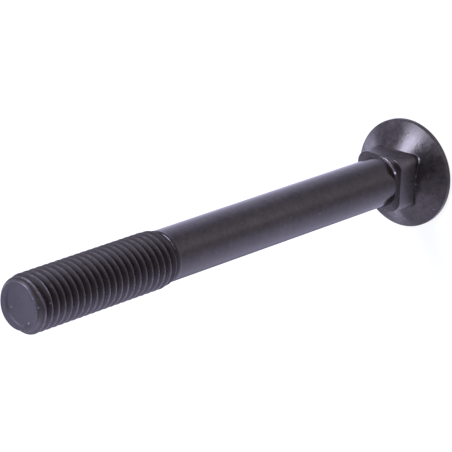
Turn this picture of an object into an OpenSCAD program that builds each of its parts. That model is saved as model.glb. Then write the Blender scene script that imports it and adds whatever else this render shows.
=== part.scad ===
// Countersunk bolt with a square neck and a rolled metric thread, forged in one piece.
// The origin is the centre of the flat head face. The axis is Z and the thread end is at the top.

/* [Bolt] */
// Length from the flat head face to the thread end
bolt_length = 120; // [90:1:160]
// Diameter of the plain shank, close to the thread's pitch diameter because the thread is rolled
shank_diameter = 10.7; // [10.3:0.05:11.1]

/* [Head] */
// Largest diameter of the head
head_diameter = 23.8; // [20:0.1:28]
// Height of the cylindrical rim of the head
rim_height = 1.3; // [0.9:0.1:2.5]
// Radius that rounds both edges of the rim
rim_edge_radius = 0.3; // [0.1:0.05:0.4]
// Included angle of the countersunk underside
countersink_angle = 120; // [90:1:130]

/* [Square neck] */
// Width of the square neck across its flats
neck_width = 11.8; // [11.5:0.1:13]
// Radius of the four long corners at the end of the neck
neck_corner_radius = 2.5; // [1:0.1:3.5]
// Radius of the same corners where they run into the head
neck_root_corner_radius = 1.3; // [0.6:0.1:3]
// Length of the flats, from the countersunk underside to the end of the neck
neck_length = 5.3; // [3:0.1:12]
// Radius that rounds the edge at the end of the neck
neck_edge_radius = 0.25; // [0.1:0.05:0.5]
// Radius of the fillet between the neck and the shank
neck_fillet_radius = 0.8; // [0.3:0.05:1]

/* [Thread] */
// Largest diameter of the thread, over its crests
thread_diameter = 11.85; // [11.7:0.01:12]
// Distance from one turn of the thread to the next
thread_pitch = 1.75; // [1.25:0.05:1.8]
// Length of the thread from the end of the bolt, with its run-out
thread_length = 41; // [20:1:60]
// Length over which the thread rises out of the shank
runout_length = 4.6; // [2:0.1:8]
// Depth of the end chamfer, from the crests in to the end face
end_chamfer_depth = 1.15; // [1.1:0.05:2]
// Angle between the end chamfer and the axis
end_chamfer_angle = 45; // [30:1:60]
// Depth of the shallow dish that rolling leaves in the end face
dish_depth = 0.15; // [0.05:0.05:0.4]
// Width of the raised lip around that dish
dish_lip = 0.8; // [0.3:0.05:1.2]

/* [Hidden] */

$fn = 96;

// Steel with a dark blackened finish
finish_colour = [0.22, 0.21, 0.24];

head_radius = head_diameter / 2;
shank_radius = shank_diameter / 2;
neck_half = neck_width / 2;
// Distance of each rounded corner's centre from both middle planes, at the end of the neck
corner_centre = neck_half - neck_corner_radius;

// Height of the countersunk underside where it reaches a given distance from the axis
function countersink_height(radius) =
    rim_height + (head_radius - radius) / tan(countersink_angle / 2);

neck_end = countersink_height(neck_half) + neck_length;
thread_start = bolt_length - thread_length;

// Section of a metric thread: the angle between its flanks, and two sizes as shares of the pitch
thread_angle = 60;
depth_share = 0.6134;
crest_flat_share = 0.125;
crest_radius = thread_diameter / 2;
root_radius = crest_radius - depth_share * thread_pitch;
crest_flat = crest_flat_share * thread_pitch;
flank_run = (crest_radius - root_radius) * tan(thread_angle / 2);
root_flat = thread_pitch - crest_flat - 2 * flank_run;
end_radius = crest_radius - end_chamfer_depth;

// Facets around one turn, and the four edges of the thread's section along one pitch:
// both edges of the root and both edges of the crest
thread_sides = 32;
edge_steps = [0, root_flat, root_flat + flank_run, root_flat + flank_run + crest_flat];
edge_is_crest = [false, false, true, true];
edges = len(edge_steps);
// Edges nearer than this to either end of the thread are drawn into that end
end_snap = 0.06;
// The first ring of the thread lies this far inside the edge of the shank that it stands on
start_inset = 0.02;
// One pitch below the start and two above the end are laid out, so that both ends are cut square
thread_rows = edges * (ceil(thread_length / thread_pitch) + 3);

// Height of one edge of the thread at one facet
function edge_height(side, row) =
    thread_start - thread_pitch
    + thread_pitch * (side / thread_sides + floor(row / edges))
    + edge_steps[row % edges];

// How far the thread has risen out of the shank, from 0 to 1
function thread_rise(z) = min(1, max(0, (z - thread_start) / runout_length));

// Distance of one edge from the axis: it grows out of the shank and ends under the chamfer
function edge_radius(z, is_crest) =
    min(
        shank_radius + thread_rise(z) * ((is_crest ? crest_radius : root_radius) - shank_radius),
        end_radius + (bolt_length - z) * tan(end_chamfer_angle)
    );

function around(radius, side, z) =
    [radius * cos(360 * side / thread_sides), radius * sin(360 * side / thread_sides), z];

// The thread and its core as one closed body. The four edges wind up the axis as helices.
// Where they would pass an end, they meet in that end's ring of points.
module thread() {
    start_ring = [
        for (side = [0:thread_sides - 1])
            around(shank_radius - start_inset, side, thread_start)
    ];
    end_ring = [
        for (side = [0:thread_sides - 1])
            around(end_radius, side, bolt_length)
    ];
    helices = [
        for (row = [0:thread_rows - 1], side = [0:thread_sides - 1])
            let (z = edge_height(side, row))
            around(edge_radius(z, edge_is_crest[row % edges]), side, z)
    ];

    // Number of a point: past the last side, the helix goes on one pitch higher at side 0
    function point_number(side, row) =
        side == thread_sides ? point_number(0, row + edges)
        : edge_height(side, row) < thread_start + end_snap ? side
        : edge_height(side, row) > bolt_length - end_snap ? thread_sides + side
        : 2 * thread_sides + row * thread_sides + side;

    function is_triangle(corners) =
        corners[0] != corners[1] && corners[1] != corners[2] && corners[2] != corners[0];

    faces = [
        for (row = [0:thread_rows - edges - 2], side = [0:thread_sides - 1])
            let (
                low_near = point_number(side, row),
                low_far = point_number(side + 1, row),
                high_near = point_number(side, row + 1),
                high_far = point_number(side + 1, row + 1)
            )
            for (corners = [[low_near, high_far, low_far], [low_near, high_near, high_far]])
                if (is_triangle(corners)) corners
    ];
    start_cap = [for (side = [0:thread_sides - 1]) side];
    end_cap = [for (side = [0:thread_sides - 1]) 2 * thread_sides - 1 - side];

    polyhedron(concat(start_ring, end_ring, helices), concat(faces, [start_cap, end_cap]), 4);
}

// Shallow dish in the end face
module end_dish() {
    dish_radius = end_radius - dish_lip;
    rotate_extrude()
        polygon([
            [0, bolt_length - dish_depth],
            [dish_radius - dish_depth, bolt_length - dish_depth],
            [dish_radius + dish_depth, bolt_length + dish_depth],
            [0, bolt_length + dish_depth]
        ]);
}

// Flat head, its rounded rim and the countersunk underside
module head() {
    edge = rim_edge_radius;
    // Where the rounding meets the countersunk underside, measured from the rim's sharp corner
    half_angle = countersink_angle / 2;
    reach = edge * tan(half_angle / 2);
    rotate_extrude() {
        polygon([
            [0, 0],
            [head_radius - edge, 0],
            [head_radius - edge, edge],
            [head_radius, edge],
            [head_radius, rim_height - reach],
            [head_radius - edge, rim_height - reach],
            [head_radius - reach * sin(half_angle), rim_height + reach * cos(half_angle)],
            [shank_radius, countersink_height(shank_radius)],
            [0, countersink_height(shank_radius)]
        ]);
        for (z = [edge, rim_height - reach])
            translate([head_radius - edge, z])
                circle(edge);
    }
}

// Facets round each long corner of the neck
corner_facets = 6;

// Ring of points on the neck's outline at one height, drawn in by an inset
function neck_ring(z, inset, corner_radius) = [
    for (turn = [0:90:270], step = [0:corner_facets])
        let (
            centre = neck_half - corner_radius,
            angle = turn + 90 * step / corner_facets
        )
        [
            centre * (cos(turn) - sin(turn)) + (corner_radius - inset) * cos(angle),
            centre * (sin(turn) + cos(turn)) + (corner_radius - inset) * sin(angle),
            z
        ]
];

// Square neck as one closed body. Its corners are sharper where the die filled them, at the head,
// and ease off towards the shank. Three narrow bands round the edge at its end.
module neck() {
    edge = neck_edge_radius;
    // A sharp corner would meet the countersunk underside at this height
    root = countersink_height(neck_half * sqrt(2));
    rings = [
        neck_ring(root, 0, neck_root_corner_radius),
        for (angle = [0:30:90])
            neck_ring(
                neck_end - edge * (1 - sin(angle)),
                edge * (1 - cos(angle)),
                neck_corner_radius
            )
    ];
    sides = len(rings[0]);
    last = len(rings) - 1;

    walls = [
        for (row = [0:last - 1], side = [0:sides - 1])
            let (near = row * sides + side, far = row * sides + (side + 1) % sides)
            [near, near + sides, far + sides, far]
    ];
    root_cap = [for (side = [0:sides - 1]) side];
    end_cap = [for (side = [0:sides - 1]) last * sides + sides - 1 - side];

    polyhedron([for (ring = rings) each ring], concat(walls, [root_cap, end_cap]), 2);
}

// Outline of the neck at its end, drawn in by an inset
module neck_outline(inset) {
    square([neck_width - 2 * inset, 2 * corner_centre], center = true);
    square([2 * corner_centre, neck_width - 2 * inset], center = true);
    for (x = [-corner_centre, corner_centre], y = [-corner_centre, corner_centre])
        translate([x, y])
            circle(neck_corner_radius - inset);
}

// Concave fillet that leads the end of the neck into the shank. The flats cut it off.
module neck_fillet() {
    fillet = neck_fillet_radius;
    intersection() {
        rotate_extrude()
            translate([0, neck_end])
                difference() {
                    translate([0, -fillet])
                        square([shank_radius + fillet, 2 * fillet]);
                    translate([shank_radius + fillet, fillet])
                        circle(fillet);
                }
        linear_extrude(neck_end + fillet)
            neck_outline(neck_edge_radius);
    }
}

module shank() {
    cylinder(h = thread_start, r = shank_radius);
}

module bolt() {
    color(finish_colour)
        difference() {
            union() {
                head();
                neck();
                neck_fillet();
                shank();
                thread();
            }
            end_dish();
        }
}

bolt();
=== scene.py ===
# %% [markdown]
# # A long countersunk bolt, forged, rolled and blackened
#
# The real object is one piece of steel. A blank is cut from rod, its flat head and square neck are
# forged in a die, its thread is rolled between two grooved plates, and the whole piece is then
# blackened in a hot salt bath and oiled.
#
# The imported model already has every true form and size. Here the same bolt is made once more as
# one finely divided surface, with the small roundings that a die and a rolling plate leave, and it
# gets its blackened finish. Lengths are worked out in millimetres and turned to metres at the end.

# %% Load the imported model
import bpy
import numpy as np
from mathutils import Matrix, Vector


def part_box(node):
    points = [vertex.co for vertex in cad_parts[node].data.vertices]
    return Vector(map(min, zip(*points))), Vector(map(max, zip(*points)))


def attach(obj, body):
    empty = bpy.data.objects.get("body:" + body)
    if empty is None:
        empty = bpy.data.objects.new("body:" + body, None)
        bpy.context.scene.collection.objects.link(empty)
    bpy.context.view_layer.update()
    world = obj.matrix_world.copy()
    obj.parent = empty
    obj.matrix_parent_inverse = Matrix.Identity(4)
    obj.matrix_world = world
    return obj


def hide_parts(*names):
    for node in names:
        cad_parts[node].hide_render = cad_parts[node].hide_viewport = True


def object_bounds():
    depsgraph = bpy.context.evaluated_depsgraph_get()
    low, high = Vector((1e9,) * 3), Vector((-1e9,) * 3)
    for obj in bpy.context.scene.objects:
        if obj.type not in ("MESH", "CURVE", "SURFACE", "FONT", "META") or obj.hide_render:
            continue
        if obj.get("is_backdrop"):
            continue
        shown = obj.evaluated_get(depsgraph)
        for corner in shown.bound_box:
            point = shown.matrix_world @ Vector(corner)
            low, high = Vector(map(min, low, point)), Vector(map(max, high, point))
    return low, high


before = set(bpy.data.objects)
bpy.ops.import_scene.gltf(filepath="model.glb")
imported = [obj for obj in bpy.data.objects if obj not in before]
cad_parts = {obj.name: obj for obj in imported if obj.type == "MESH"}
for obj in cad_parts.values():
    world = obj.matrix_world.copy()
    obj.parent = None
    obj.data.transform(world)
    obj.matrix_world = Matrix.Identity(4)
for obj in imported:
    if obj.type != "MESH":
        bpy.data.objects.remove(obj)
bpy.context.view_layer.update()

MILLIMETRE = 0.001
low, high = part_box("bolt")
print("packed bolt, mm:", [round(v / MILLIMETRE, 2) for v in (*low, *high)])

# %% [markdown]
# ## The camera
#
# The bolt stands on its head, so its thread end points up. It is looked at from above the thread
# end, from far away through a long lens, which keeps the head from looking small. The camera is
# rolled by a little more than a right angle, so that the standing bolt lies across the frame.
#
# A camera can be aimed with a constraint, but a roll is then awkward. Here its three axes are
# worked out from four plain numbers: its direction, height and roll, and how far away it stands.

# %% Camera
aim = np.array([-0.803, 1.382, 59.402])
direction, elevation, roll = np.radians([29.456, 46.562, 108.998])
distance = 593.52

backward = np.array([
    np.cos(elevation) * np.cos(direction),
    np.cos(elevation) * np.sin(direction),
    np.sin(elevation),
])
level_right = np.cross([0, 0, 1], backward)
level_right /= np.linalg.norm(level_right)
level_up = np.cross(backward, level_right)
camera_up = np.cos(roll) * level_up + np.sin(roll) * level_right
camera_right = np.cross(camera_up, backward)
camera_place = aim + distance * backward

camera_data = bpy.data.cameras.new("camera")
camera_data.sensor_width = 36
camera_data.lens = 233.83
camera_data.clip_start, camera_data.clip_end = 0.01, 20
camera = bpy.data.objects.new("camera", camera_data)
bpy.context.scene.collection.objects.link(camera)
placed = np.eye(4)
placed[:3] = np.stack([camera_right, camera_up, backward, camera_place * MILLIMETRE], 1)
camera.matrix_world = Matrix(placed.tolist())
bpy.context.scene.camera = camera
print("camera at, mm:", camera_place.round(1))

# %% [markdown]
# ## Writing shaders as expressions
#
# A node tree is quick to draw by hand and slow to read in a script. So one small class wraps a
# socket and gives it the signs of arithmetic: `1 - mask * 0.5` adds the Math nodes that it needs.
# Any other node comes from one method, which sets the node's settings before its sockets.

# %% Shader helper
class Socket:
    """One output of a node. Arithmetic on it adds Math nodes to the same tree."""

    def __init__(self, tree, socket):
        self.tree, self.socket = tree, socket

    def math(self, operation, *operands, clamp=False):
        settings = {"operation": operation, "use_clamp": clamp}
        return self.tree.node("ShaderNodeMath", settings, dict(enumerate(operands))).out()

    def __add__(self, other): return self.math("ADD", self, other)
    def __radd__(self, other): return self.math("ADD", other, self)
    def __sub__(self, other): return self.math("SUBTRACT", self, other)
    def __rsub__(self, other): return self.math("SUBTRACT", other, self)
    def __mul__(self, other): return self.math("MULTIPLY", self, other)
    def __rmul__(self, other): return self.math("MULTIPLY", other, self)
    def __truediv__(self, other): return self.math("DIVIDE", self, other)

    def most(self, other): return self.math("MAXIMUM", self, other)
    def clamped(self): return self.math("ADD", self, 0.0, clamp=True)

    def ramp(self, start, end, low=0.0, high=1.0):
        """Goes smoothly from low to high while this value goes from start to end."""
        settings = {"interpolation_type": "SMOOTHSTEP"}
        ends = {"From Min": start, "From Max": end, "To Min": low, "To Max": high}
        sockets = {"Value": self, **ends}
        return self.tree.node("ShaderNodeMapRange", settings, sockets).out("Result")

    def between(self, start, full, fading, end):
        """Rises from 0 to 1 between the first two values, and falls to 0 between the last two."""
        return self.ramp(start, full) * self.ramp(end, fading)


class Added:
    """A node that was just added, whose outputs are asked for by name."""

    def __init__(self, tree, made):
        self.tree, self.made = tree, made

    def out(self, name=None):
        usable = [s for s in self.made.outputs if s.enabled]
        return Socket(self.tree, next(s for s in usable if name is None or s.name == name))


class Tree:
    """The node tree of a material or a world."""

    def __init__(self, owner):
        owner.use_nodes = True
        self.nodes, self.links = owner.node_tree.nodes, owner.node_tree.links
        self.nodes.clear()

    def node(self, kind, settings=None, sockets=None):
        """Adds a node of a kind. Settings come first, then the values or links of its sockets."""
        made = self.nodes.new(kind)
        for name, value in (settings or {}).items():
            setattr(made, name, value)
        usable = [s for s in made.inputs if s.enabled]
        for name, value in (sockets or {}).items():
            named = (s for s in usable if s.name == name)
            target = made.inputs[name] if isinstance(name, int) else next(named)
            if isinstance(value, Socket):
                self.links.new(value.socket, target)
            else:
                target.default_value = value
        return Added(self, made)

    def mix_colour(self, factor, first, second):
        sockets = {"Factor": factor, "A": first, "B": second}
        return self.node("ShaderNodeMix", {"data_type": "RGBA"}, sockets).out("Result")

    def vector(self, operation, first, second=None):
        """Vector Math on one or two vectors. A dot product and a length come out as numbers."""
        operands = {0: first} if second is None else {0: first, 1: second}
        return self.node("ShaderNodeVectorMath", {"operation": operation}, operands).out()

    def noise(self, place, scale, detail=2.0, roughness=0.5, stretch=None):
        """Noise with `scale` bumps to a metre, drawn out along an axis by a stretch."""
        if stretch:
            sockets = {"Vector": place, "Scale": stretch}
            place = self.node("ShaderNodeMapping", {}, sockets).out()
        sockets = {"Vector": place, "Scale": scale, "Detail": detail, "Roughness": roughness}
        return self.node("ShaderNodeTexNoise", {}, sockets).out("Fac")

    def background_rays(self):
        """1 for what the camera, a reflection or clear glass sees, and 0 for light on the bolt."""
        rays = self.node("ShaderNodeLightPath")
        seen = rays.out("Is Camera Ray").most(rays.out("Is Glossy Ray"))
        return seen.most(rays.out("Is Transmission Ray"))


def direction_of(azimuth, height=0):
    """The direction at an azimuth and a height in degrees, as a vector of length 1."""
    flat, rise = np.radians([azimuth, height])
    return np.cos(rise) * np.cos(flat), np.cos(rise) * np.sin(flat), np.sin(rise)


print("the azimuth 90 points along", np.round(direction_of(90), 3))

# %% [markdown]
# ## The studio: what the bolt mirrors
#
# Blackened steel is nearly a dark mirror, so most of what is seen on it is the room around it. A
# real studio has a bright ceiling with a dark gap beside the lamps, and a window low at one side.
# The gap darkens the near part of the cone and the flanks of the thread that face up there, and
# the window draws the thin lines on the crests, in the fillet and at the foot of the neck.
#
# A room could be modelled, or a panorama wrapped round the scene. Here the world's colour is worked
# out from the direction alone. It is white where the camera looks, it shows the gap and the window
# only in mirror-like reflections, and it lights the bolt as a plain grey sky. So the lines can be
# placed without changing the light, and the colour of the steel stays as it is written below.

# %% World
bpy.context.scene.view_settings.view_transform = "Standard"
world = bpy.data.worlds.new("studio")
world.cycles.sampling_method = "NONE"
bpy.context.scene.world = world
room = Tree(world)
toward = room.node("ShaderNodeTexCoord").out("Generated")

WHITE = (1, 1, 1, 1)
COOL = (0.96, 0.99, 1.42, 1)
SKY_LIGHT = 0.2
# Azimuth and height in degrees, and how bright it is in a reflection
GAP_AT, GAP = (22, 69.5), 0.1
WINDOW_AT, WINDOW = (74, 16), 2.5

# Each ramp runs over the cosine of the angle to the middle of the gap or the window
near_gap = room.vector("DOT_PRODUCT", toward, direction_of(*GAP_AT))
near_window = room.vector("DOT_PRODUCT", toward, direction_of(*WINDOW_AT))
seen_room = near_gap.ramp(0.87, 0.985, 1.0, GAP) + near_window.ramp(0.72, 0.9, 0.0, WINDOW)
rays = room.node("ShaderNodeLightPath")
mirrored = rays.out("Is Glossy Ray").most(rays.out("Is Transmission Ray"))
camera_ray = rays.out("Is Camera Ray")
strength = camera_ray + (1 - camera_ray) * (mirrored * seen_room + (1 - mirrored) * SKY_LIGHT)
tint = room.mix_colour(mirrored, WHITE, COOL)
sky = room.node("ShaderNodeBackground", {}, {"Color": tint, "Strength": strength}).out()
room.node("ShaderNodeOutputWorld", {}, {"Surface": sky})
print("sky lights at", SKY_LIGHT, "and the gap and the window look", GAP, "and", WINDOW)

# %% [markdown]
# ## The lamps
#
# A dark curved piece is lit by large soft panels, because each lamp is seen on it as its own
# reflection. The key lamp, high on one side, draws the fan of light across the cone of the head.
# A wide weak panel across from it is what the flat end mirrors, and two low ones light the far
# half of the cone.
#
# Small lamps would give hard points on every crest. Each panel here is given by its direction, its
# reach and its radiance, the brightness at which it is seen, and its power is worked out from that.

# %% Lamps
BOLT_MIDDLE = Vector((0, 0, 0.06))


def soft_lamp(name, azimuth, height, reach, width, tall, radiance, colour):
    """A soft lamp, a flat panel that faces the middle of the bolt.

    A panel of width w, height h and power p shines with a radiance of p / (pi w h).
    """
    data = bpy.data.lights.new(name, "AREA")
    data.shape, data.size, data.size_y = "RECTANGLE", width, tall
    data.energy = radiance * np.pi * width * tall
    data.color = colour
    lamp = bpy.data.objects.new(name, data)
    bpy.context.scene.collection.objects.link(lamp)
    away = Vector(direction_of(azimuth, height))
    lamp.location = BOLT_MIDDLE + away * reach
    lamp.rotation_euler = away.to_track_quat("Z", "Y").to_euler()
    print(name, "power", round(data.energy, 2), "W")


cool, blue = (0.87, 0.97, 1.3), (0.9, 0.97, 1.4)
soft_lamp("key_lamp", azimuth=119, height=51, reach=0.6, width=0.25, tall=0.2,
          radiance=23, colour=cool)
soft_lamp("fill_lamp", azimuth=-115, height=38, reach=0.7, width=1.2, tall=0.55,
          radiance=1.0, colour=blue)
soft_lamp("low_lamp", azimuth=-150, height=7, reach=0.7, width=0.9, tall=0.16,
          radiance=4.0, colour=blue)
soft_lamp("back_lamp", azimuth=-168, height=3, reach=0.7, width=0.2, tall=0.1,
          radiance=5, colour=cool)

# %% [markdown]
# ## The floor
#
# The bolt stands on plain white paper. The paper is white where the camera sees it, and it keeps
# the bolt's soft shadow. In a studio, white cards are laid round a dark shiny thing, so that it has
# something to mirror: the patches on both sides give the pale sides of the shank, and the dark
# between them gives its dark middle.
#
# The cards could be four planes, but their hard edges would show on the shank. Here they are soft
# patches of brightness on the paper itself, worked out from the angle round the bolt, and only a
# reflection sees them.

# %% Floor
ACROSS = 4.0
JUST_BELOW = 0.02 * MILLIMETRE
corners = np.array([[-1, -1], [1, -1], [1, 1], [-1, 1]]) * ACROSS / 2
floor_mesh = bpy.data.meshes.new("floor")
floor_mesh.from_pydata([(x, y, -JUST_BELOW) for x, y in corners], [], [(0, 1, 2, 3)])
floor = bpy.data.objects.new("floor", floor_mesh)
bpy.context.scene.collection.objects.link(floor)

paper = bpy.data.materials.new("white_paper")
paper.cycles.emission_sampling = "NONE"
sheet = Tree(paper)
spot = sheet.node("ShaderNodeTexCoord").out("Object")
from_bolt = sheet.vector("NORMALIZE", sheet.vector("MULTIPLY", spot, (1, 1, 0)))
floor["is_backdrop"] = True
print("floor", ACROSS, "m across")

# %% Paper with cards
# How much light the paper scatters, how bright the camera sees it, and how bright a reflection
# sees it where no card lies
PAPER_GREY, GLOW, NO_CARD = 0.25, 0.86, 0.18
WARM = (1.0, 0.98, 1.24, 1)


def card(azimuth, start, end):
    """A soft white patch on one side of the floor, from the cosine of the angle to its middle."""
    return sheet.vector("DOT_PRODUCT", from_bolt, direction_of(azimuth)).ramp(start, end)


near_cards = 0.58 * card(-62, 0.33, 0.96) + 0.84 * card(-14, -0.18, 1.0)
far_cards = 0.57 * card(117, -0.27, 0.2) + 0.35 * card(144, 0.58, 1.0)
sideways = (card(-66, 0.1, 0.75) + card(137, 0.3, 0.85)).clamped()
card_tint = sheet.mix_colour(sideways, WARM, COOL)
reflected = {"Color": card_tint, "Strength": near_cards + far_cards + NO_CARD}
cards = sheet.node("ShaderNodeEmission", {}, reflected).out()

grey = (PAPER_GREY, PAPER_GREY, PAPER_GREY, 1)
matte = sheet.node("ShaderNodeBsdfDiffuse", {}, {"Color": grey}).out()
seen = sheet.background_rays() * GLOW
glow = sheet.node("ShaderNodeEmission", {}, {"Strength": seen}).out()
white = sheet.node("ShaderNodeAddShader", {}, {0: matte, 1: glow}).out()
in_mirror = sheet.node("ShaderNodeLightPath").out("Is Glossy Ray")
surface = sheet.node("ShaderNodeMixShader", {}, {0: in_mirror, 1: white, 2: cards}).out()
sheet.node("ShaderNodeOutputMaterial", {}, {"Surface": surface})
floor.data.materials.append(paper)
print("nodes of the paper:", len(sheet.nodes))

# %% [markdown]
# ## One surface for one forging
#
# The bolt has no parts to put together, so it is one closed surface. It is laid out as a grid. One
# number goes round the axis, and the other goes from the middle of the head face, out to the rim,
# up the countersunk underside, the square neck and the shank, along the thread, over its end and
# back in to the axis. Every row of the grid is an array of radii and an array of heights.
#
# Two other ways were open. A turned profile alone can't make the square neck or a thread that
# winds. Parts joined by Booleans would leave sharp seams where the real steel flows.

# %% Sizes of the bolt, in millimetres
LENGTH, SHANK = 120.0, 5.35
HEAD, RIM, RIM_EDGE = 11.9, 1.3, 0.3
NECK_HALF, NECK_LENGTH, NECK_CORNER, NECK_ROOT_CORNER = 5.9, 5.3, 2.5, 1.6
NECK_EDGE, NECK_FILLET, NECK_ROOT_BEND = 0.25, 0.7, 0.2
CREST, PITCH, THREAD_START, CHAMFER = 5.925, 1.75, 79.0, 1.15
END = CREST - CHAMFER
SLOPE = np.radians(30)

COLUMNS = 240
columns = np.arange(COLUMNS + 1)
angle = 2 * np.pi * (columns % COLUMNS) / COLUMNS


def cone_height(radius):
    """Height of the countersunk underside: it climbs 30 degrees on the way in from the rim."""
    return RIM + (HEAD - radius) * np.tan(SLOPE)


def neck_reach(inset, corner_radius=NECK_CORNER):
    """Distance from the axis to the neck's outline, drawn in by an inset, at every angle.

    On a flat it is the half width over the cosine of the angle from the flat's middle. Nearer to a
    corner it is where the ray leaves the circle that rounds that corner.
    """
    off = np.abs((angle + np.pi / 4) % (np.pi / 2) - np.pi / 4)
    flat = (NECK_HALF - inset) / np.cos(off)
    centre = NECK_HALF - corner_radius
    along = centre * (np.cos(off) + np.sin(off))
    aside = 2 * centre**2 - along**2
    corner = along + np.sqrt(np.maximum((corner_radius - inset) ** 2 - aside, 0))
    return np.where(flat * np.sin(off) <= centre, flat, corner)


neck = neck_reach(0)
neck_root = neck_reach(0, NECK_ROOT_CORNER)
neck_end = cone_height(NECK_HALF) + NECK_LENGTH
print("neck reaches", neck.min().round(2), "to", neck.max().round(2), "mm")
print("neck ends at", round(neck_end, 2), "mm")

# %% [markdown]
# ### Rows that bend
#
# Everywhere two faces of the die meet, the steel turns through a small round. A Bevel modifier
# could round the edges, but it has one width for all of them. Here a bend from one face to the
# next is a quadratic curve: it starts on one face, leans on the sharp corner and ends on the other
# face. All angles are worked out together, so a bend can be wide at a corner of the square and
# tight at a flat.

# %% Ways to lay out rows
def smooth_step(share):
    """Goes from 0 to 1 and starts and ends level: t t (3 - 2t)."""
    share = np.clip(share, 0, 1)
    return share * share * (3 - 2 * share)


def bend(start, corner, end, steps):
    """Rows along a quadratic curve from start, pulled towards the corner, to end.

    Each argument is a pair of radius and height, as arrays over the angle. At share t, the point is
    (1-t)^2 start + 2t(1-t) corner + t^2 end.
    """
    share = np.linspace(0, 1, steps + 1)[:, None]
    weights = (1 - share) ** 2, 2 * share * (1 - share), share**2
    return [sum(w * point[k] for w, point in zip(weights, (start, corner, end))) for k in (0, 1)]


def straight(start, end, shares):
    """Rows along a straight line from start to end, at the given shares of the way."""
    share = np.array(shares)[:, None]
    return [start[k] + share * (end[k] - start[k]) for k in (0, 1)]


def everywhere(radius, height):
    """One radius and one height, at every angle."""
    return np.full(COLUMNS + 1, float(radius)), np.full(COLUMNS + 1, float(height))


halfway = [share.round(2).tolist() for share in bend((0, 0), (1, 0), (1, 1), 2)]
print("a quarter turn in two steps, radii and heights:", halfway)

# %% Head, neck and shank
rim_reach = RIM_EDGE * np.tan(SLOPE)
face_edge = everywhere(HEAD - RIM_EDGE, 0)
rim_top = everywhere(HEAD - rim_reach * np.cos(SLOPE), RIM + rim_reach * np.sin(SLOPE))

cone_foot_radius = neck_root + NECK_ROOT_BEND * np.cos(SLOPE)
cone_foot = cone_foot_radius, cone_height(cone_foot_radius)
side_foot = neck_root, cone_height(neck_root) + NECK_ROOT_BEND
side_top = neck, np.full_like(neck, neck_end - NECK_EDGE)

ledge = neck_reach(NECK_EDGE)
fillet_start = np.minimum(ledge, SHANK + NECK_FILLET)
first_turn = np.arcsin((SHANK + NECK_FILLET - fillet_start) / NECK_FILLET)
ledge_height = neck_end + NECK_FILLET * (1 - np.cos(first_turn))


def neck_fillet_rows(steps):
    """Rows of the hollow fillet: a quarter circle that the flats of the neck cut short."""
    turned = first_turn + np.linspace(0, 1, steps + 1)[:, None] * (np.pi / 2 - first_turn)
    radius = SHANK + NECK_FILLET * (1 - np.sin(turned))
    return radius, neck_end + NECK_FILLET * (1 - np.cos(turned))


shank_start = everywhere(SHANK, neck_end + NECK_FILLET)
shank_shares = [0.005, 0.1, 0.2, 0.3, 0.4, 0.5, 0.6, 0.7, 0.8, 0.9, 1]
body_rows = [
    straight(everywhere(0, 0), face_edge, [0, 0.3, 0.6, 0.85, 0.97]),
    bend(face_edge, everywhere(HEAD, 0), everywhere(HEAD, RIM_EDGE), 5),
    bend(everywhere(HEAD, RIM - rim_reach), everywhere(HEAD, RIM), rim_top, 5),
    straight(rim_top, cone_foot, [0.03, 0.12, 0.3, 0.5, 0.7, 0.88, 0.97]),
    bend(cone_foot, (neck_root, cone_height(neck_root)), side_foot, 6),
    straight(side_foot, side_top, [0.05, 0.2, 0.4, 0.6, 0.8, 0.95]),
    bend(side_top, (neck, ledge_height), (ledge, ledge_height), 5),
    neck_fillet_rows(6),
    straight(shank_start, everywhere(SHANK, THREAD_START), shank_shares),
]
body_radius = np.concatenate([rows[0] for rows in body_rows])
body_height = np.concatenate([rows[1] for rows in body_rows])
print("rows from the head face to the thread:", len(body_radius))

# %% [markdown]
# ### The thread
#
# A rolled metric thread has flanks that stand 60 degrees apart, a narrow crest and a narrow root,
# and both are a little rounded by the rolling plate. Its rows are not level rings. Each row is a
# helix that climbs one pitch in a turn, so the rows follow the crests and roots and no facet cuts
# across a flank. After a turn, a row goes on as the row one pitch higher, and the grid closes.
#
# A Screw modifier would also wind the section up, but it leaves open ends. Here the section grows
# out of the plain rod near the shank, which is the run-out, and at the end the chamfer cuts it.
# Rows that would pass either end are held at that end, and the points that then fall together are
# merged.

# %% Section of the thread
DEPTH = 0.6134 * PITCH
ROOT = CREST - DEPTH
CREST_ROUND, ROOT_ROUND = 0.1, 0.14
crest_flat = PITCH / 8
flank_run = DEPTH * np.tan(SLOPE)
root_flat = PITCH - crest_flat - 2 * flank_run

corner_height = np.array([0, root_flat, root_flat + flank_run, root_flat + flank_run + crest_flat])
corner_radius = np.array([ROOT, ROOT, CREST, CREST])
flank_length = np.hypot(DEPTH, flank_run)
flank_step = np.array([flank_run, DEPTH]) / flank_length


def rounded_section():
    """One pitch of the thread as heights and radii, with each of its four corners as a bend.

    A bend starts as far before its corner as it ends beyond it: along a flat that is a step in
    height, and along a flank it is a step on the 60 degree slope.
    """
    along, up, down = np.array([1.0, 0.0]), flank_step, flank_step * [1, -1]
    before = [down, along, up, along]
    after = [along, up, along, down]
    share = np.array([0, 0.5, 1])[:, None]
    points = []
    for k in range(4):
        corner = np.array([corner_height[k], corner_radius[k]])
        reach = ROOT_ROUND if k < 2 else CREST_ROUND
        start, end = corner - reach * before[k], corner + reach * after[k]
        curve = (1 - share) ** 2 * start + 2 * share * (1 - share) * corner + share**2 * end
        points.append(curve)
    return np.concatenate(points).T


section_height, section_radius = rounded_section()
print("thread depth", round(DEPTH, 3), "mm, rows in one pitch:", len(section_height))

# %% Rows of the thread
turns = int(np.ceil((LENGTH - THREAD_START) / PITCH)) + 3
row_height = (PITCH * np.arange(turns)[:, None] + section_height).ravel()
thread_height = THREAD_START - PITCH + row_height[:, None] + PITCH * columns / COLUMNS
thread_section = np.tile(section_radius, turns)[:, None]

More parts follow.
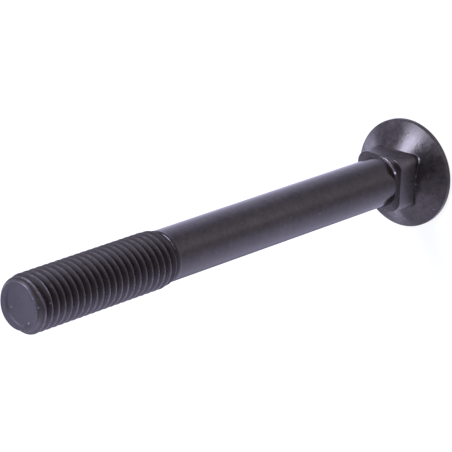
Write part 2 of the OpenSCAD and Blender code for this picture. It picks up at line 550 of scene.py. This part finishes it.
# The last ridge before the chamfer is pushed up a little
LAST_TURN, LAST_LIFT = 118.1, 0.25
thread_height = thread_height + LAST_LIFT * smooth_step((thread_height - LAST_TURN) / 0.8)

# In the run-out the crests rise slowly out of the shank, and the grooves sink sooner
CREST_RISE_FROM, CREST_RISE = 79.5, 3.8
ROOT_RISE_FROM, ROOT_RISE = 79.7, 2.1
crest_rise = smooth_step((thread_height - CREST_RISE_FROM) / CREST_RISE)
root_rise = smooth_step((thread_height - ROOT_RISE_FROM) / ROOT_RISE)
rise = np.where(thread_section > SHANK, crest_rise, root_rise)
thread_radius = SHANK + rise * (thread_section - SHANK)
print("thread rows:", len(thread_radius), "turns:", turns)

# %% [markdown]
# ### The end of the thread
#
# The blank was cut by a shear, which leaves its end a little out of round: the end face is narrower
# on one side. The chamfer runs from that edge down into the thread at 45 degrees, and its foot is
# soft, as rolling leaves it. A Boolean cut would make the same cone with a knife edge. Here each
# point takes the smaller of the thread's radius and the cone's, with a round where the two cross.

# %% Chamfer and ends
# Where the end face is narrower, over how wide an angle, and by how much in millimetres
NARROW_AT, NARROW_HALF, NARROWER = np.radians(40), np.radians(28), 0.4
SOFT_CHAMFER = 0.08
END_SNAP = 0.05


def softer_least(first, second, softness):
    """The smaller of two values, with a round: (a + b - sqrt((a-b)^2 + s^2)) / 2."""
    return 0.5 * (first + second - np.sqrt((first - second) ** 2 + softness**2))


def angle_from(turned):
    """The angle from a given one to each column, from minus to plus half a turn."""
    return np.angle(np.exp(1j * (angle - turned)))


narrowed = NARROWER * np.exp(-((angle_from(NARROW_AT) / NARROW_HALF) ** 2))
end_edge = END - narrowed + 0.03 * np.cos(3 * angle + 1)
thread_radius = softer_least(thread_radius, end_edge + LENGTH - thread_height, SOFT_CHAMFER)

below, above = thread_height < THREAD_START + END_SNAP, thread_height > LENGTH - END_SNAP
thread_radius = np.where(below, SHANK, np.where(above, end_edge + END_SNAP, thread_radius))
thread_height = np.where(below, THREAD_START, np.where(above, LENGTH - END_SNAP, thread_height))
print("edge of the end face, mm:", end_edge.min().round(2), "to", end_edge.max().round(2))

# %% [markdown]
# ### Dents in the crests
#
# Bolts fall into a bin on top of each other, so a few crests get a small dent. A dent could be a
# bump in the material, but it shows in the outline of the thread. So the surface itself sinks: a
# soft bell of a given depth and width, at a given angle and height.

# %% Marks on the thread
MARKS = [
    # angle in degrees, height, depth and width in mm
    (49.5, 115.92, 0.28, 0.5),
    (16.9, 94.1, 0.2, 0.4),
    (66.0, 104.6, 0.15, 0.4),
]
for turned, height, depth, width in MARKS:
    around = CREST * angle_from(np.radians(turned))
    apart = (around**2 + (thread_height - height) ** 2) / width**2
    thread_radius = thread_radius - depth * np.exp(-apart) * (thread_radius > SHANK)
print("marks on the thread:", len(MARKS))

# %% [markdown]
# ### The end face
#
# Rolling pushes the skin of the rod ahead of it, so the end face is left as a shallow dish with a
# low wall round it. The dish isn't in the middle, and on one side it fades out before the wall. It
# is a few rings that go in from the edge. They lie close together where the wall is, because the
# wall catches the light as a thin crescent and wide cells would blur it.

# %% End face
DISH_DEPTH, DISH_WALL, DISH_RADIUS, DISH_OFFSET = 0.2, 0.6, 4.5, 1.1
DISH_TOWARD, DISH_FADES = np.radians(30), np.radians(110)
inward = np.concatenate([
    [0, 0.015, 0.04],
    np.arange(0.07, 0.415, 0.03).round(2),
    [0.45, 0.6, 0.8, 1.0],
])[:, None]
end_radius = end_edge * (1 - inward)
off_centre = np.hypot(
    end_radius * np.cos(angle) - DISH_OFFSET * np.cos(DISH_TOWARD),
    end_radius * np.sin(angle) - DISH_OFFSET * np.sin(DISH_TOWARD),
)
sunk = smooth_step((DISH_RADIUS - off_centre) / DISH_WALL)
shallower = 0.5 + 0.5 * np.cos(angle + DISH_FADES)
end_drop = DISH_DEPTH * sunk * (shallower + (1 - shallower) * smooth_step(inward / 0.9))
end_height = LENGTH - end_drop
print("end face rows:", len(end_radius), "deepest, mm:", end_drop.max().round(2))

# %% [markdown]
# ### Wear and painted highlights of the end
#
# The edge of the end face and the last ridges rub first, and bare steel shows there. Their pale
# lines are also painted stronger on the lit side, as painted highlights, and a pale crescent on the
# wall of the dish is a painted highlight too. A pointiness mask would find every sharp edge alike.
# Here each point of the mesh gets a number for its wear and painted highlight, from where it is: on
# a ridge, on the chamfer or on the edge, and on which side. The number is kept as an attribute of
# the mesh, which the material reads.

# %% Wear and painted highlights of the end
def beside(azimuth, start, end):
    """1 at the angles near an azimuth, falling to 0 as the cosine of the way to it drops."""
    return smooth_step((np.cos(angle - np.radians(azimuth)) - start) / (end - start))


on_crest = thread_section > CREST - 0.06
last_ridge = on_crest * smooth_step((thread_height - 118.6) / 0.3)
second_ridge = on_crest * (np.abs(thread_height - 117.1) < 0.4) * beside(44, 0.9, 0.98)
chamfer = smooth_step((thread_height - 118.9) / 0.3)
# The upper side is the lit side: the pale edge and ridges are painted stronger there as a painted
# highlight
upper_side, lower_side = 0.1 + 0.8 * beside(62, 0.5, 0.95), beside(-50, 0.3, 0.9)
# A painted highlight: a pale crescent where the wall of the dish would catch the light
dish_wall_highlight = np.exp(-(((off_centre - 4.2) / 0.3) ** 2)) * beside(-108, 0.6, 0.9)

edge_or_ridge = np.where(thread_height > 119.94, 0.35, 0.42 * last_ridge)
thread_wear_and_sheen = edge_or_ridge * upper_side + 0.25 * chamfer * lower_side + 0.4 * second_ridge
face_wear_and_sheen = 0.16 * dish_wall_highlight + (inward < 0.01) * 0.35 * upper_side
edge_wear_and_sheen = np.concatenate([0 * body_radius, thread_wear_and_sheen, face_wear_and_sheen])
print("most wear:", edge_wear_and_sheen.max().round(2))

# %% [markdown]
# ### From grid to mesh
#
# The rows are stacked, each cell of the grid becomes a face, and points at the same place become
# one. Blender could merge them by distance, but a thread has points that lie close and are not the
# same, so their places are rounded to whole numbers and compared. A cell that has shrunk to a
# triangle stays as one, and a cell that has no area is dropped. What is left is one closed skin,
# in which every edge joins two faces.

# %% Mesh of the bolt
radius = np.concatenate([body_radius, thread_radius, end_radius])
height = np.concatenate([body_height, thread_height, end_height])
points = np.stack([radius * np.cos(angle), radius * np.sin(angle), height], -1).reshape(-1, 3)


def merge(points, fineness=1e5):
    """Numbers of the points with equal ones shared, and which point to keep for each number."""
    whole = np.rint(points * fineness).astype(np.int64)
    _, kept, number = np.unique(whole, axis=0, return_index=True, return_inverse=True)
    return number.ravel(), kept


def grid_faces(rows, across, number):
    """Faces between neighbouring rows. Cells with one pair of equal corners become triangles."""
    first = (np.arange(rows - 1)[:, None] * across + np.arange(across - 1)).ravel()
    cells = number[np.stack([first, first + 1, first + across + 1, first + across], 1)]
    same = cells == np.roll(cells, -1, axis=1)
    quads = cells[same.sum(1) == 0]
    thin = same.sum(1) == 1
    triangles = cells[thin][~same[thin]].reshape(-1, 3)
    return quads, triangles


number, kept = merge(points)
quads, triangles = grid_faces(len(radius), COLUMNS + 1, number)
points = points[kept]
print("points", len(points), "quads", len(quads), "triangles", len(triangles))

# %% Into Blender
bolt_mesh = bpy.data.meshes.new("bolt_skin")
bolt_mesh.from_pydata((points * MILLIMETRE).tolist(), [], quads.tolist() + triangles.tolist())
bolt_mesh.validate()
bolt_mesh.shade_smooth()
# The attribute holds the end's wear and its painted highlights
wear_and_sheen = bolt_mesh.attributes.new("edge_wear_and_sheen", "FLOAT", "POINT")
wear_and_sheen.data.foreach_set("value", edge_wear_and_sheen.ravel()[kept])
bolt = bpy.data.objects.new("bolt_skin", bolt_mesh)
bpy.context.scene.collection.objects.link(bolt)


def edges_of(faces):
    """Both ends of every edge of some faces, each pair in rising order."""
    return np.sort(np.stack([faces, np.roll(faces, -1, axis=1)], -1).reshape(-1, 2), axis=1)


edges = np.concatenate([edges_of(quads), edges_of(triangles)])
_, shared = np.unique(edges, axis=0, return_counts=True)
print("edges that don't join two faces:", int((shared != 2).sum()))

# %% [markdown]
# ## The blackened finish: the ground
#
# Hot blackening turns the skin of the steel to a thin dark oxide, which is then oiled. It mirrors
# little when looked at squarely and much more at a glancing angle, so the middle of the shank looks
# dark and its sides look pale. Its colour is a dark brown to violet grey with small cloudy patches.
#
# A plain dark metal would mirror as strongly in the middle as at the sides. A black paint would
# have no tinge. So the finish is an oxide between the two, only partly metallic, with a warm tint
# in what it mirrors. Its patches are noise on the bolt's own coordinates, so they don't slide when
# the bolt turns.

# %% Where each zone lies
blackened = bpy.data.materials.new("blackened_steel")
steel = Tree(blackened)
place = steel.node("ShaderNodeTexCoord").out("Object")
place_mm = steel.vector("MULTIPLY", place, (1 / MILLIMETRE, 1 / MILLIMETRE, 1 / MILLIMETRE))
level = steel.node("ShaderNodeSeparateXYZ", {}, {"Vector": place_mm}).out("Z")
outward = steel.vector("MULTIPLY", place_mm, (1, 1, 0))
radial = steel.vector("LENGTH", outward)


def side(azimuth):
    """The cosine of the angle round the bolt from an azimuth: 1 on that side, -1 on the other."""
    return steel.vector("DOT_PRODUCT", outward, direction_of(azimuth)) / radial


# Heights and distances from the axis are in millimetres. The cone ends about 5 mm above the head
# face, the neck at 10 and the shank at 79.
head = level.ramp(9.9, 9.7)
cone = head * level.ramp(5.2, 4.6)
neck_sides = head - cone
neck_root_line = head * level.between(3.9, 4.4, 4.9, 5.2)
fillet = level.between(9.8, 10.0, 10.8, 11.2)
threaded = level.ramp(79.5, 82.5)
crest_tip = radial.ramp(5.68, 5.90)
end_face = level.ramp(119.6, 119.8) * radial.ramp(4.9, 4.7)
low_side = side(-62).ramp(-0.1, 0.8)
print("nodes for the zones:", len(steel.nodes))

# %% Colour of the oxide
blotch = steel.noise(place, 900, detail=4, roughness=0.65)
cloud = steel.noise(place, 260, detail=4, roughness=0.6)
grain = steel.noise(place, 2400, detail=3, roughness=0.7)
drawn = steel.noise(place, 1500, detail=2, stretch=(1, 1, 0.08))
streak = steel.noise(steel.vector("NORMALIZE", outward), 16, detail=4, roughness=0.6)
mottle = (blotch - 0.5) * 1.3 + (cloud - 0.5) * 0.9

DARK_OXIDE, PALE_OXIDE = (0.010, 0.008, 0.0085, 1), (0.062, 0.050, 0.045, 1)
# The neck's sides get a paler oxide: partly their own tone, partly painted light for light the lamps
# here don't throw on them
NECK_OXIDE_PAINTED_PALER, FACE_OXIDE = (0.078, 0.069, 0.068, 1), (0.033, 0.029, 0.0315, 1)
# Painted light and shade: the thread's flanks are lighter on the low side, where more light falls,
# and darker on the other side
FLANK_PAINTED_SHADE, FLANK_PAINTED_LIGHT = (0.032, 0.0242, 0.0215, 1), (0.046, 0.037, 0.037, 1)

oxide = steel.mix_colour((mottle + 0.5).clamped(), DARK_OXIDE, PALE_OXIDE)
# Painted light: the neck's sides are made paler
oxide = steel.mix_colour(neck_sides, oxide, NECK_OXIDE_PAINTED_PALER)
# Flanks painted lighter towards the low side and darker away from it
flank_painted_lit_and_shaded = steel.mix_colour(low_side, FLANK_PAINTED_SHADE, FLANK_PAINTED_LIGHT)
oxide = steel.mix_colour(threaded, oxide, flank_painted_lit_and_shaded)
oxide = steel.mix_colour(end_face, oxide, FACE_OXIDE)
print("nodes with the colour:", len(steel.nodes))

# %% [markdown]
# ### Worn places and painted highlights
#
# Where bolts rub on each other the oxide goes and paler steel shows: on the crests, on the edge of
# the end and in a few nicks. Fine bright specks lie all over. One wear texture for the whole bolt
# would put it in the grooves too. The same pale steel is also painted where light would catch, as
# painted highlights: the crests are paler on their low side, a thin glint runs along the first turn
# of the run-out, and glints sit in the fillet and at the foot of the neck's corner.
#
# So each kind of mark is a mask of its own, from the zone, the side and a noise that breaks it up.
# The spots are a short table of places on the bolt. All of them add up to one share of pale steel.

# %% Wear and painted highlights
SPOTS_WORN_AND_GLINTING = [
    # strength, distance from the axis, angle in degrees, height and size in mm
    # Painted highlights: a glint in the fillet, and three spots that join into a glint at the foot
    # of the neck's corner
    (1.0, 5.46, 35, 10.3, 0.45),
    (0.7, 7.72, 42.5, 3.75, 0.4),
    (0.6, 7.6, 40, 3.82, 0.4),
    (0.5, 7.35, 37.5, 3.9, 0.4),
    # Pale specks along the foot of the neck, and a pale spot at the run-out
    (0.4, 6.05, 14.5, 4.68, 0.35),
    (0.3, 6.05, -2.5, 4.68, 0.35),
    (0.6, 5.45, 37, 80.9, 0.35),
    # A nick near the end of the thread and two in the end face
    (1.0, 5.9, 76, 118.6, 0.35),
    (0.35, 2.14, -161, 119.8, 0.25),
    (0.6, 3.74, -45, 119.9, 0.28),
]
PALE_STEEL_AND_GLINTS = (0.30, 0.27, 0.28, 1)


def round_spot(radius, azimuth, height, size):
    """1 within a small round spot at a place on the bolt in millimetres: a nick, a speck or a
    painted glint.
    """
    x, y, _ = direction_of(azimuth)
    away = steel.vector("DISTANCE", place_mm, (radius * x, radius * y, height))
    return away.ramp(size, 0.3 * size)


worn_spots_and_glints = 0.0
for amount, *where in SPOTS_WORN_AND_GLINTING:
    worn_spots_and_glints = worn_spots_and_glints + amount * round_spot(*where)

# Crest wear, painted paler on the low side as a painted highlight where more light falls
wear_and_sheen_by_side = 0.08 + 0.36 * low_side
crest = threaded * crest_tip * blotch.ramp(0.2, 0.65, 0.3, 1.0) * wear_and_sheen_by_side
dust = threaded * grain.ramp(0.58, 0.72) * 0.1
# A painted highlight: a thin glint along the first turn of the run-out, brightest at one angle
first_turn_side = side(70.5)
brightest, broken = first_turn_side.ramp(0.965, 0.995), first_turn_side.ramp(0.74, 0.9)
run_out_glint = 0.4 * brightest + 0.4 * grain.ramp(0.35, 0.6) * broken
run_out_glint = run_out_glint * level.between(80.64, 80.74, 80.82, 80.92)
edge = steel.node("ShaderNodeAttribute", {"attribute_name": "edge_wear_and_sheen"}).out("Fac")
# The end's wear and painted highlights, with the run-out glint, in one mask
rim = edge * blotch.ramp(0.3, 0.6, 0.6, 1.0) + run_out_glint

sparse = steel.node("ShaderNodeTexVoronoi", {}, {"Vector": place, "Scale": 330.0})
speck = sparse.out("Distance").ramp(0.08, 0.05) * (0.25 + 0.45 * threaded)
# Real wear and specks and the painted highlights all share the pale steel colour
wear_and_glints = (dust + crest + rim + worn_spots_and_glints + speck).clamped()
oxide = steel.mix_colour(wear_and_glints, oxide, PALE_STEEL_AND_GLINTS)
print("rubbed spots:", len(SPOTS_WORN_AND_GLINTING))

# %% [markdown]
# ### Gloss and relief
#
# Forging leaves the cone with faint hammered clouds and streaks that run out to the rim. The rod
# for the shank was drawn through a die, which leaves fine lines along it. The thread's flanks are
# the dullest part and its crests the smoothest.
#
# These hollows are a few hundredths of a millimetre deep, far too fine for the mesh, so a Bump node
# tilts the normal instead. How rough each zone is follows the same noise as its colour, because
# the paler patches of oxide are also the looser and duller ones.

# %% Gloss and relief
RELIEF = 0.05 * MILLIMETRE
scatter = 0.12 + 0.12 * head + 0.08 * neck_sides
scatter = scatter + threaded * (0.36 - 0.14 * crest_tip - 0.08 * low_side)
uneven = mottle + (grain - 0.5) * (0.8 - 0.6 * cone)
roughness = scatter + uneven * (0.2 - 0.06 * cone) - 0.2 * rim + fillet * 0.06
roughness = roughness + cone * ((streak - 0.5) * 0.1 + radial.ramp(8.8, 11.8) * 0.12)
metal = 0.4 + 0.15 * cone + 0.1 * neck_sides + 0.5 * (crest + worn_spots_and_glints + rim)

bumps = blotch * (0.3 + 0.25 * cone) + cloud * cone * 1.2
bumps = bumps + grain * (0.45 - 0.38 * cone) + drawn * 0.1
relief = {"Height": bumps, "Strength": 1.0, "Distance": RELIEF}
normal = steel.node("ShaderNodeBump", {}, relief).out("Normal")
skin = steel.node("ShaderNodeBsdfPrincipled", {}, {
    "Base Color": oxide, "Metallic": metal, "Roughness": roughness, "Normal": normal,
    "Specular Tint": (0.95, 0.85, 0.82, 1),
}).out("BSDF")
print("nodes with the skin:", len(steel.nodes))

# %% [markdown]
# ### Painted shade
#
# Shade is painted here as a nearly black coat that hardly mirrors: in the grooves of the thread, in
# the fillet and along the foot of the neck, where less light reaches. It also covers the flanks that
# face up under the key lamp, where their highlight would be, and darkens the lower shank on one
# side.
#
# Lowering the gloss of the skin would still leave its glancing shine. So the painted shade is a
# second plain shader, mixed over the skin by a mask. It is thinner on the crests, thinner on two
# sides of the thread and on its low side, and gone from the worn and lit ridges.

# %% Painted shade and surface
# Painted shade: a nearly black, dull coat mixed over the skin
painted_shade_coat = steel.node("ShaderNodeBsdfPrincipled", {}, {
    "Base Color": (0.026, 0.0195, 0.0175, 1), "Roughness": 0.6, "Specular IOR Level": 0.1,
}).out("BSDF")

# Less painted shade on two sides of the thread and on its low side, where more light falls
less_shade_at_two_sides = side(120).ramp(0.88, 0.99, 0.95, 0.6) * side(8).ramp(0.85, 0.99, 1.0, 0.7)
shade_by_side = (1 - low_side) * less_shade_at_two_sides * (1 - rim.clamped())
# More painted shade over the up-facing flanks where the key lamp's highlight would fall
shade_over_key_highlight = side(66).ramp(0.92, 0.985) * radial.ramp(5.91, 5.78, 0.35, 0.85)
deep = radial.ramp(5.9, 5.4, 0.5, 1.0).most(shade_over_key_highlight)
# Painted shade in the grooves of the thread
groove_shade = level.between(79.7, 80.8, 119.5, 119.8) * deep * shade_by_side

near_flat = side(-6)
# Painted shade in the fillet and along the foot of the neck
fillet_shade = fillet * near_flat.ramp(0.7, 0.85) * 0.45
neck_foot_shade = neck_root_line * near_flat.ramp(0.6, 0.9) * (1 - worn_spots_and_glints.clamped()) * 0.7
# Painted shade: the lower part of the shank, near the head, darker on one side
shank_shade = level.ramp(10.7, 11.2) * level.ramp(58, 18) * side(-10).ramp(-0.1, 0.5) * 0.2

painted_shade = groove_shade + fillet_shade + neck_foot_shade + shank_shade
coated = steel.node("ShaderNodeMixShader", {}, {0: painted_shade, 1: skin, 2: painted_shade_coat}).out()
steel.node("ShaderNodeOutputMaterial", {}, {"Surface": coated})
bolt.data.materials.append(blackened)
print("material nodes:", len(steel.nodes))

# %% [markdown]
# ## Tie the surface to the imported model
#
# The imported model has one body, its root, and one node, the bolt. The skin rides on that body and
# stands in for that node, so wherever the model goes the finished surface goes too. Parenting it by
# hand would do the same in Blender alone, but other programs then wouldn't know which solid it
# stands for.

# %% Ride and replace
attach(bolt, "root")
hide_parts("bolt")
print("the skin stands in for the packed bolt")

# %% [markdown]
# ## Print the box of what is seen
#
# A surface that replaces a solid has to keep its size. The box of the imported model was printed at
# the start, and here the box of what is now seen is printed too. They can be compared by
# eye, but two lists of numbers can be checked by any script.

# %% Print the box of what is seen
def plain(bounds):
    return [[float(v) for v in corner] for corner in bounds]


visual_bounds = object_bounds()
visual_mm = [[round(v / MILLIMETRE, 3) for v in corner] for corner in plain(visual_bounds)]
print("visual box, mm:", visual_mm)
